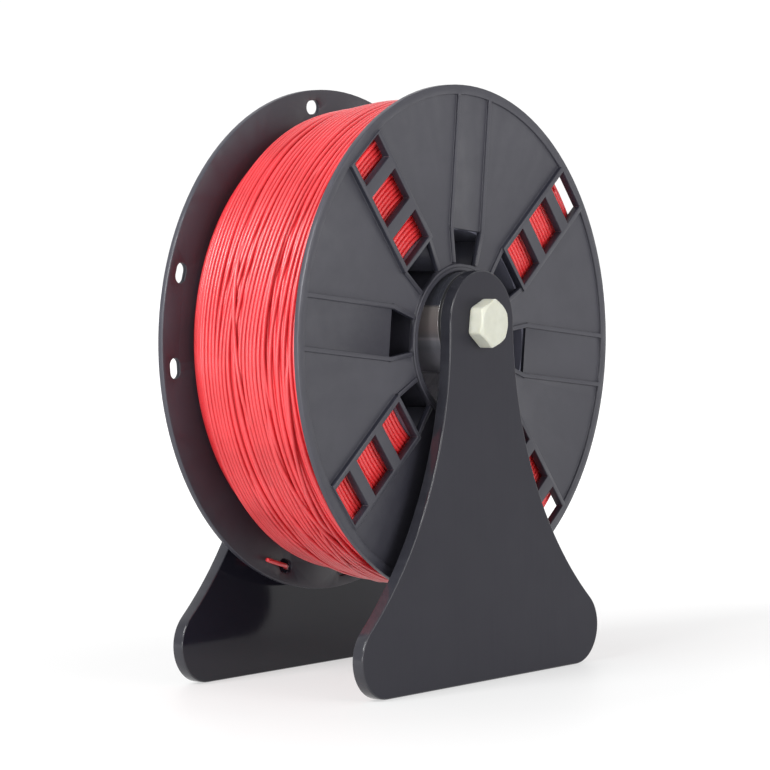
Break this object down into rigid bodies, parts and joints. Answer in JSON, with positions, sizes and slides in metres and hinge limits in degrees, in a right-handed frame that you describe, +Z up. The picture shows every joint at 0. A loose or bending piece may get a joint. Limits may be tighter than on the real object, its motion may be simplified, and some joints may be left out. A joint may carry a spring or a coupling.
{
  "type": "spool holder stand",
  "caption": "Desktop stand whose two flared side plates clamp a hollow axle drum that carries a freely turning, loaded filament spool.",
  "frame": {"origin": "on the ground, midway between the two side plates and below the axle", "axes": "+Z up, +Y along the axle towards the rear side plate, +X along the side plates"},
  "size_m": [0.2, 0.1068, 0.2321],
  "materials": {
    "black_acrylic": "polished cast sheet, near black",
    "drum_plastic": "smooth extruded tube, near black",
    "cap_plastic": "smooth moulding, near black",
    "natural_nylon": "natural ivory nylon, satin",
    "spool_plastic": "satin injection moulding, charcoal",
    "red_filament": "glossy extruded strand, coral red"
  },
  "bodies": {
    "stand": {"side_plate_front": "black_acrylic", "side_plate_rear": "black_acrylic", "axle_drum": "drum_plastic", "axle_cap_front": "cap_plastic", "axle_cap_rear": "cap_plastic", "hex_bolts": "natural_nylon", "captive_nuts": "natural_nylon"},
    "spool": {"spool_flange_front": "spool_plastic", "spool_flange_rear": "spool_plastic", "core_barrel": "spool_plastic", "core_webs": "spool_plastic", "bore_sleeve": "spool_plastic", "filament_winding": "red_filament", "filament_tail": "red_filament"}
  },
  "joints": [
    {"name": "spool_spin", "type": "hinge", "parent": "stand", "child": "spool", "pos_m": [0, 0, 0.13215], "axis": [0, 1, 0], "continuous": true}
  ]
}
